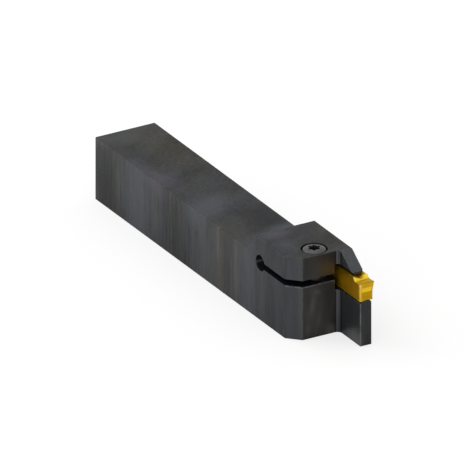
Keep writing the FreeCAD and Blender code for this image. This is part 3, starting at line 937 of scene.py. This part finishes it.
@dataclass
class ClampScrew:
    """Cap screw with a crowned head, a six-lobe socket and a real thread."""

    axis: Place = mm(110, 0.3, 0)
    top: float = 26.65 * MM
    head_height: float = 4.0 * MM
    head_radius: float = 3.5 * MM
    head_rounding: float = 0.3 * MM
    crown_radius: float = 2.2 * MM
    crown_fall: float = 0.55 * MM
    head_foot_break: float = 0.12 * MM
    socket_radius: float = 1.975 * MM
    socket_waist: float = 1.425 * MM
    lobe_radius: float = 0.4 * MM
    socket_depth: float = 2.2 * MM
    socket_point: float = 0.5 * MM
    socket_lead_in: float = 0.06 * MM
    socket_turn: float = math.radians(30.0)
    floor_share: float = 0.93
    floor_rise: float = 0.05 * MM
    neck_length: float = 0.5 * MM
    neck_rounding: float = 0.15 * MM
    thread_radius: float = 2.0 * MM
    thread_depth: float = 0.43 * MM
    thread_flank: Span = (0.25, 0.875)
    pitch: float = 0.7 * MM
    run_out: float = 0.5 * MM
    whole_turns: float = 100.0
    tip: float = 6.65 * MM
    tip_chamfer: float = 0.5 * MM
    lobes: int = 6
    sides: int = 120
    head_steps: int = 6
    neck_steps: int = 3
    rows_per_turn: int = 9
    point_gap: float = 0.0005 * MM
    sharp: float = math.radians(32.0)
    # Painted shade in the socket and on the head's rim; rim_share sets how near the top the rim's shade
    # ends.
    socket_shade: float = -0.9
    rim_shade: float = -0.6
    rim_share: float = 0.8

    def build(self, material: Material) -> Object:
        """Builds the screw as one closed mesh.

        Args:
            material: The screw's steel.

        Returns:
            The finished piece.
        """
        thread = self._thread_mesh(material)
        mesh = bpy.data.meshes.new("clamp_screw")
        with editing(mesh) as shape:
            self._add_head(shape)
            self._add_tip(shape)
            shape.from_mesh(thread)
            bmesh.ops.remove_doubles(shape, verts=shape.verts, dist=self.point_gap)
            bmesh.ops.recalc_face_normals(shape, faces=shape.faces)
            bmesh.ops.translate(shape, verts=shape.verts, vec=Vector(self.axis))
            for face in shape.faces:
                face.smooth = True
        bpy.data.meshes.remove(thread)
        mesh.set_sharp_from_angle(angle=self.sharp)
        paint_face_light(mesh, self._painted_shades())
        return new_piece("clamp_cap_screw", mesh, material)

    def _painted_shades(self) -> tuple[PaintedFaceLight, PaintedFaceLight]:
        """Gives the painted shade of the socket's walls and floor, and of the head's rim.

        Returns:
            The two tones.
        """
        across, along, _ = self.axis
        reach = self.socket_radius
        socket = PaintedFaceLight(
            None, self.socket_shade,
            (across - reach, along - reach, self.top - self.socket_depth - self.socket_point),
            (across + reach, along + reach, self.top - self.socket_lead_in))
        rim = PaintedFaceLight(None, self.rim_shade, (-FAR, -FAR, self.top - self.head_height),
                       (FAR, FAR, self.top - self.rim_share * self.crown_fall))
        return socket, rim

    def _ring(self, shape: BMesh, up: float, reach: Reach) -> list[BMVert]:
        """Adds a closed ring of points.

        Args:
            shape: The mesh to add to.
            up: The ring's height.
            reach: The radius, or what gives the radius at an angle.

        Returns:
            The ring's points in order.
        """
        step = 2 * math.pi / self.sides
        ring = []
        for index in range(self.sides):
            turn = index * step
            radius = reach(turn) if callable(reach) else reach
            ring.append(shape.verts.new((radius * math.cos(turn), radius * math.sin(turn), up)))
        return ring

    def _loft(self, shape: BMesh, profile: Sequence[tuple[float, Reach]]) -> list[list[BMVert]]:
        """Adds the rings of a profile and joins each to the next by a band of faces.

        Args:
            shape: The mesh to add to.
            profile: The height and the reach of each ring, in order.

        Returns:
            The rings.
        """
        rings = [self._ring(shape, up, reach) for up, reach in profile]
        for first, second in zip(rings, rings[1:]):
            for index in range(self.sides):
                after = (index + 1) % self.sides
                shape.faces.new((first[index], first[after], second[after], second[index]))
        return rings

    def _cap(self, shape: BMesh, ring: list[BMVert], up: float) -> None:
        """Closes a ring by a cone.

        Args:
            shape: The mesh to add to.
            ring: The ring to close.
            up: The height of the cone's point.
        """
        point = shape.verts.new((0.0, 0.0, up))
        for index in range(self.sides):
            shape.faces.new((ring[index], ring[(index + 1) % self.sides], point))

    def _socket_reach(self, turn: float) -> float:
        """Gives the socket's radius: round lobes, joined by tangent valleys.

        Args:
            turn: The angle round the axis.

        Returns:
            The radius at that angle.
        """
        half = math.pi / self.lobes
        off_lobe = (turn - self.socket_turn + half) % (2 * half) - half
        off_valley = half - abs(off_lobe)
        centre = self.socket_radius - self.lobe_radius
        along = centre * math.cos(half)
        spread = centre ** 2 + self.socket_waist ** 2 - 2 * along * self.socket_waist
        valley = (spread - self.lobe_radius ** 2) / (2 * (self.lobe_radius - self.socket_waist + along))
        far = self.socket_waist + valley
        share = self.lobe_radius / (self.lobe_radius + valley)
        touch_x = centre + (far * math.cos(half) - centre) * share
        touch_y = far * math.sin(half) * share
        if abs(off_lobe) < math.atan2(touch_y, touch_x):
            inner = self.lobe_radius ** 2 - (centre * math.sin(off_lobe)) ** 2
            return centre * math.cos(off_lobe) + math.sqrt(max(inner, 0.0))
        inner = valley ** 2 - (far * math.sin(off_valley)) ** 2
        return far * math.cos(off_valley) - math.sqrt(max(inner, 0.0))

    def _add_head(self, shape: BMesh) -> None:
        """Adds the socket, the head and the neck down to the first thread.

        Args:
            shape: The mesh to add to.
        """
        floor = self.top - self.socket_depth
        under = self.top - self.head_height
        slope = math.atan2(self.crown_fall, self.head_radius - self.crown_radius)
        middle = self.head_radius - self.head_rounding
        level = (self.top - (middle - self.crown_radius) * math.tan(slope)
                 - self.head_rounding / math.cos(slope))
        profile = [(floor, lambda turn: self.floor_share * self._socket_reach(turn)),
                   (floor + self.floor_rise, self._socket_reach),
                   (self.top - 2 * self.socket_lead_in, self._socket_reach),
                   (self.top, self.socket_radius + self.socket_lead_in),
                   (self.top, self.crown_radius)]
        for step in range(self.head_steps + 1):
            turn = (math.pi / 2 - slope) * (1 - step / self.head_steps)
            profile.append((level + self.head_rounding * math.sin(turn),
                            middle + self.head_rounding * math.cos(turn)))
        profile.append((under + self.head_foot_break, self.head_radius))
        profile.append((under, self.head_radius - self.head_foot_break))
        for step in range(self.neck_steps + 1):
            turn = math.pi / 2 * step / self.neck_steps
            profile.append((under - self.neck_rounding * (1 - math.cos(turn)),
                            self.thread_radius + self.neck_rounding * (1 - math.sin(turn))))
        profile.append((under - self.neck_length, self.thread_radius))
        rings = self._loft(shape, profile)
        self._cap(shape, rings[0], floor - self.socket_point)

    def _add_tip(self, shape: BMesh) -> None:
        """Adds the chamfered point below the thread.

        Args:
            shape: The mesh to add to.
        """
        rings = self._loft(shape, [(self.tip + self.tip_chamfer, self.thread_radius),
                                   (self.tip, self.thread_radius - self.tip_chamfer)])
        self._cap(shape, rings[-1], self.tip)

    def _thread_mesh(self, material: Material) -> Mesh:
        """Makes the threaded length with the thread tree.

        Args:
            material: The screw's steel.

        Returns:
            An open tube whose two end rings fit the neck and the point.
        """
        low = self.tip + self.tip_chamfer
        length = self.top - self.head_height - self.neck_length - low
        sizes = {"Sides": self.sides, "Rows": round(length / self.pitch * self.rows_per_turn),
                 "Length": length, "Radius": self.thread_radius, "Depth": self.thread_depth,
                 "Pitch": self.pitch, "Run Out": self.run_out, "Base": low, "Material": material}
        return grown_mesh("clamp_screw_thread", self._thread_tree(), sizes)

    def _thread_tree(self) -> NodeTree:
        """Draws the tree that turns a plain tube into a right-hand thread.

        Returns:
            The tree.
        """
        lengths = ("Length", "Radius", "Depth", "Pitch", "Run Out", "Base")
        sketch, size, result = new_group(
            "screw_thread", Tree.GEOMETRY,
            {"Sides": Socket.WHOLE, "Rows": Socket.WHOLE, **dict.fromkeys(lengths, Socket.FLOAT),
             "Material": Socket.MATERIAL},
            {"Geometry": Socket.GEOMETRY})
        tube = sketch.node("GeometryNodeMeshCylinder", {
            "Vertices": size["Sides"], "Side Segments": size["Rows"], "Radius": size["Radius"],
            "Depth": size["Length"]}, fill_type="NONE").outputs["Mesh"]
        across, along, up = sketch.split(sketch.node("GeometryNodeInputPosition").outputs[0])
        half = sketch.math("MULTIPLY", size["Length"], 0.5)
        turn = sketch.math("DIVIDE", sketch.math("ARCTAN2", along, across), 2 * math.pi)
        turns = sketch.math("SUBTRACT", sketch.math("DIVIDE", up, size["Pitch"]), turn)
        phase = sketch.math("FRACT", sketch.math("ADD", turns, self.whole_turns))
        crest = sketch.math("ABSOLUTE", sketch.math("SUBTRACT", sketch.math("MULTIPLY", phase, 2.0), 1.0))
        groove = sketch.fade(crest, self.thread_flank, 1.0, 0.0, "LINEAR")
        to_end = sketch.math("SUBTRACT", half, sketch.math("ABSOLUTE", up))
        full = sketch.math("MINIMUM", sketch.math("DIVIDE", to_end, size["Run Out"]), 1.0)
        sunk = sketch.math("MULTIPLY", sketch.math("MULTIPLY", groove, full), size["Depth"])
        shrink = sketch.math("SUBTRACT", 1.0, sketch.math("DIVIDE", sunk, size["Radius"]))
        moved = sketch.node("ShaderNodeCombineXYZ", {
            0: sketch.math("MULTIPLY", across, shrink), 1: sketch.math("MULTIPLY", along, shrink),
            2: sketch.math("ADD", sketch.math("ADD", up, half), size["Base"])}).outputs[0]
        placed = sketch.node("GeometryNodeSetPosition", {"Geometry": tube, "Position": moved})
        finish_tree(sketch, placed.outputs[0], size["Material"], result)
        return sketch.tree


@dataclass
class Insert:
    """Double-ended grooving insert, with small bumps on both rakes that break the chip."""

    point_gap: float = 0.003 * MM
    edge_width: float = 0.05 * MM
    cutting_share: float = 0.35
    cutting_near: float = 0.05 * MM
    middle: Place = mm(117.1, 8.1, 0)
    tip: float = 10.5 * MM
    edge_height: float = 20.4 * MM
    rake_angle: float = math.radians(4.0)
    bump_columns: int = 5
    bump_rows: int = 3
    bump_spread: float = 3.2 * MM
    bump_row_step: float = 0.7 * MM
    bump_setback: float = 0.7 * MM
    bump_radius: float = 0.22 * MM
    bump_rise: float = 0.5
    bump_detail: int = 2
    bump_flank: Span = (0.2, 0.9)
    # Painted shade at the foot of each bump and painted light at its top.
    bump_painted_light: Span = (-0.5, 1.0)
    # Painted light on the insert's faces: its front flanks are paler or deeper zone by zone where
    # reflections fall, its chip walls paler; the rounded corner gets none, so that the painted highlight of
    # its patch shows.
    tones: tuple[PaintedFaceLight, ...] = (
        PaintedFaceLight((1.0, 0.0, -0.2), 0.95, closeness=0.9985),
        PaintedFaceLight((1.0, 0.0, -0.12), 0.2, closeness=0.9985),
        PaintedFaceLight((1.0, 0.0, 0.0), -0.12, closeness=0.9985),
        PaintedFaceLight((1.0, -1.0, -0.1), 0.0, mm(126, 0, 0), closeness=0.84),
        PaintedFaceLight((1.0, 0.0, 1.0), 0.7, closeness=0.95),
    )

    def build(self, node: Object, material: Material) -> Object:
        """Builds the insert from the frame's node and adds its bumps.

        Args:
            node: The frame's insert.
            material: The gold coating.

        Returns:
            The finished piece.
        """
        piece = new_piece("grooving_insert", merged_copy(node, self.point_gap), material)
        EdgeBreak(self.edge_width, weight=self._weight).apply(piece)
        paint_face_light(piece.data, self.tones)
        bumps = self._bumps(material)
        with editing(piece.data, piece.data) as shape:
            shape.from_mesh(bumps)
        bpy.data.meshes.remove(bumps)
        return piece

    def _weight(self, edge: BMEdge) -> float:
        """Gives an edge's share of the chamfer: less along the two cutting edges.

        Args:
            edge: The edge.

        Returns:
            Its share, from 0 to 1.
        """
        cutting = all(abs(end.co.z - self.edge_height) < self.cutting_near for end in edge.verts)
        return self.cutting_share if cutting else 1.0

    def _bumps(self, material: Material) -> Mesh:
        """Makes the bumps of both rakes.

        Args:
            material: The gold coating.

        Returns:
            Their mesh, in place.
        """
        depth = self.bump_row_step * (self.bump_rows - 1)
        run = self.bump_setback + depth / 2
        sizes = {"Columns": self.bump_columns, "Rows": self.bump_rows, "Spread": self.bump_spread,
                 "Run": depth, "Radius": self.bump_radius, "Rise": self.bump_rise,
                 "Slope": -self.rake_angle, "Middle": self.middle, "Material": material,
                 "Centre": (self.tip - run, 0.0, self.edge_height - run * math.tan(self.rake_angle))}
        return grown_mesh("chip_former_bumps", self._bump_tree(), sizes)

    def _bump_tree(self) -> NodeTree:
        """Draws the tree that sets a grid of flattened domes on both rakes.

        Returns:
            The tree.
        """
        numbers = ("Spread", "Run", "Radius", "Rise", "Slope")
        sketch, size, result = new_group(
            "chip_former", Tree.GEOMETRY,
            {"Columns": Socket.WHOLE, "Rows": Socket.WHOLE, **dict.fromkeys(numbers, Socket.FLOAT),
             "Centre": Socket.VECTOR, "Middle": Socket.VECTOR, "Material": Socket.MATERIAL},
            {"Geometry": Socket.GEOMETRY})
        grid = sketch.node("GeometryNodeMeshGrid", {
            "Size X": size["Run"], "Size Y": size["Spread"], "Vertices X": size["Rows"],
            "Vertices Y": size["Columns"]}).outputs["Mesh"]
        dome = sketch.node("GeometryNodeMeshIcoSphere", {
            "Subdivisions": self.bump_detail, "Radius": size["Radius"]}).outputs["Mesh"]
        up = sketch.split(sketch.node("GeometryNodeInputPosition").outputs[0])[2]
        # Painted light on each bump: deeper low down, paler at the top.
        tone = sketch.fade(sketch.math("DIVIDE", up, size["Radius"]), self.bump_flank, *self.bump_painted_light)
        toned = sketch.node("GeometryNodeStoreNamedAttribute", {
            "Name": PAINTED_LIGHT_ATTRIBUTE, "Geometry": dome, "Value": tone}, data_type="FLOAT", domain="CORNER")
        flat = sketch.node("ShaderNodeCombineXYZ", {0: 1.0, 1: 1.0, 2: size["Rise"]}).outputs[0]
        scattered = sketch.node("GeometryNodeInstanceOnPoints", {
            "Points": grid, "Instance": toned.outputs["Geometry"], "Scale": flat}).outputs[0]
        tilt = sketch.node("ShaderNodeCombineXYZ", {1: size["Slope"]}).outputs[0]
        on_rake = sketch.node("GeometryNodeTransform", {
            "Geometry": scattered, "Rotation": tilt, "Translation": size["Centre"]}).outputs[0]
        other_end = sketch.node("GeometryNodeTransform", {
            "Geometry": on_rake, "Rotation": (0.0, 0.0, math.pi)}).outputs[0]
        both = sketch.node("GeometryNodeJoinGeometry", {0: on_rake})
        sketch.feed(both.inputs[0], other_end)
        placed = sketch.node("GeometryNodeTransform", {
            "Geometry": both.outputs[0], "Translation": size["Middle"]}).outputs[0]
        finish_tree(sketch, placed, size["Material"], result)
        return sketch.tree


@dataclass(frozen=True)
class Softbox:
    """A large square lamp, with its power in watts."""

    name: str
    place: Place
    side: float
    power: float


@dataclass
class Studio:
    """Pale floor, soft light and the camera of the photograph."""

    photo_side: float = 470.0
    pixels_per_metre: float = 3425.5
    aim: Place = mm(60.3, 2.3, 10)
    azimuth: float = math.radians(60.0)
    elevation: float = math.radians(25.13)
    camera_distance: float = 0.6
    clip: Span = (0.01, 10.0)
    floor_side: float = 4.0
    floor_drop: float = 0.02 * MM
    floor_colour: Colour = (0.80, 0.80, 0.80)
    seen_floor_colour: Colour = (0.30, 0.30, 0.30)
    floor_glow: float = 0.72
    sky_strength: float = 0.75
    sky_horizon: float = 1.0
    sky_above: float = 0.5
    sky_zenith: float = 1.1
    horizon_span: Span = (0.1, 0.4)
    zenith_span: Span = (0.6, 0.85)
    softboxes: tuple[Softbox, ...] = (
        Softbox("key_softbox", (-0.44, -0.37, 0.62), 0.6, 2.6),
        Softbox("fill_softbox", (0.70, -0.62, 0.26), 0.5, 1.5),
    )

    def build(self) -> None:
        """Sets the scene around the object."""
        bpy.context.scene.view_settings.view_transform = "Standard"
        self._add_camera()
        self._add_floor()
        self._set_sky()
        for softbox in self.softboxes:
            lamp = bpy.data.lights.new(softbox.name, "AREA")
            lamp.size = softbox.side
            lamp.energy = softbox.power
            self._stand(lamp, Vector(softbox.place), Vector(self.aim) - Vector(softbox.place))

    def _stand(self, data: Camera | Light, place: Vector, facing: Vector) -> Object:
        """Stands a camera or a lamp in the scene.

        Args:
            data: The camera or the lamp.
            place: Where it stands.
            facing: Which way it looks.

        Returns:
            Its object.
        """
        stood = bpy.data.objects.new(data.name, data)
        stood.location = place
        stood.rotation_mode = "QUATERNION"
        stood.rotation_quaternion = facing.to_track_quat("-Z", "Y")
        bpy.context.scene.collection.objects.link(stood)
        return stood

    def _add_camera(self) -> None:
        """Adds the camera, which sees the object in parallel."""
        back = Vector((math.sin(self.azimuth) * math.cos(self.elevation),
                       -math.cos(self.azimuth) * math.cos(self.elevation), math.sin(self.elevation)))
        lens = bpy.data.cameras.new("photo_camera")
        lens.type = "ORTHO"
        lens.ortho_scale = self.photo_side / self.pixels_per_metre
        lens.clip_start, lens.clip_end = self.clip
        bpy.context.scene.camera = self._stand(lens, Vector(self.aim) + back * self.camera_distance, -back)

    def _add_floor(self) -> None:
        """Adds the pale floor, which the camera sees white but for the object's shadow."""
        mesh = bpy.data.meshes.new("floor")
        with editing(mesh) as shape:
            bmesh.ops.create_grid(shape, x_segments=1, y_segments=1, size=self.floor_side / 2)
            bmesh.ops.translate(shape, verts=shape.verts, vec=(*self.aim[:2], -self.floor_drop))
        material = bpy.data.materials.new("pale_floor")
        material.use_nodes = True
        sketch = Sketch(material.node_tree)
        shader = material.node_tree.nodes["Principled BSDF"]
        rays = sketch.node("ShaderNodeLightPath").outputs
        seen = sketch.math("MAXIMUM", rays["Is Camera Ray"], rays["Is Transmission Ray"])
        for name, source in (("Base Color", sketch.blend(seen, self.floor_colour, self.seen_floor_colour)),
                             ("Roughness", 1.0), ("Specular IOR Level", 0.0),
                             ("Emission Color", (1.0, 1.0, 1.0, 1.0)),
                             ("Emission Strength", sketch.math("MULTIPLY", seen, self.floor_glow))):
            sketch.feed(shader.inputs[name], source)
        new_piece("floor", mesh, material)

    def _set_sky(self) -> None:
        """Surrounds the scene with even light, in reflections darker between horizon and zenith."""
        world = bpy.data.worlds.new("studio")
        world.use_nodes = True
        sketch = Sketch(world.node_tree)
        background = world.node_tree.nodes["Background"]
        rays = sketch.node("ShaderNodeLightPath").outputs
        seen = sketch.math("MAXIMUM", rays["Is Camera Ray"], rays["Is Glossy Ray"])
        seen = sketch.math("MAXIMUM", seen, rays["Is Transmission Ray"])
        up = sketch.split(sketch.node("ShaderNodeTexCoord").outputs["Generated"])["Z"]
        shown = sketch.fade(up, self.horizon_span, self.sky_horizon, self.sky_above)
        overhead = sketch.fade(up, self.zenith_span, 0.0, self.sky_zenith - self.sky_above)
        shown = sketch.math("MULTIPLY", seen, sketch.math("ADD", shown, overhead))
        lit = sketch.math("MULTIPLY", sketch.math("SUBTRACT", 1.0, seen), self.sky_strength)
        sketch.feed(background.inputs["Color"], (1.0, 1.0, 1.0, 1.0))
        sketch.feed(background.inputs["Strength"], sketch.math("ADD", lit, shown))
        bpy.context.scene.world = world


def hand_over(piece: Object, node: str) -> None:
    """Lets a finished piece stand for its frame node.

    Args:
        piece: The finished piece.
        node: The node that it replaces.
    """
    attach(piece, WHOLE_BODY)
    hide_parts(node)
    piece.data.calc_loop_triangles()
    LOG.info("%s stands for %s with %d triangles", piece.name, node, len(piece.data.loop_triangles))


def main() -> None:
    """Builds every piece around the frame and sets the studio."""
    logging.basicConfig(level=logging.INFO, format="%(name)s: %(message)s")
    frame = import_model()
    nodes = frame["nodes"]
    effects = SurfaceEffects()
    steel = BLACKENED_STEEL.material(effects)
    hand_over(Holder().build(nodes["holder"], steel), "holder")
    screw = SCREW_STEEL.material(effects)
    hand_over(ClampScrew().build(screw), "clamp_screw")
    carbide = COATED_CARBIDE.material(effects)
    hand_over(Insert().build(nodes["insert"], carbide), "insert")
    Studio().build()
    bpy.context.view_layer.update()


if __name__ == "__main__":
    main()
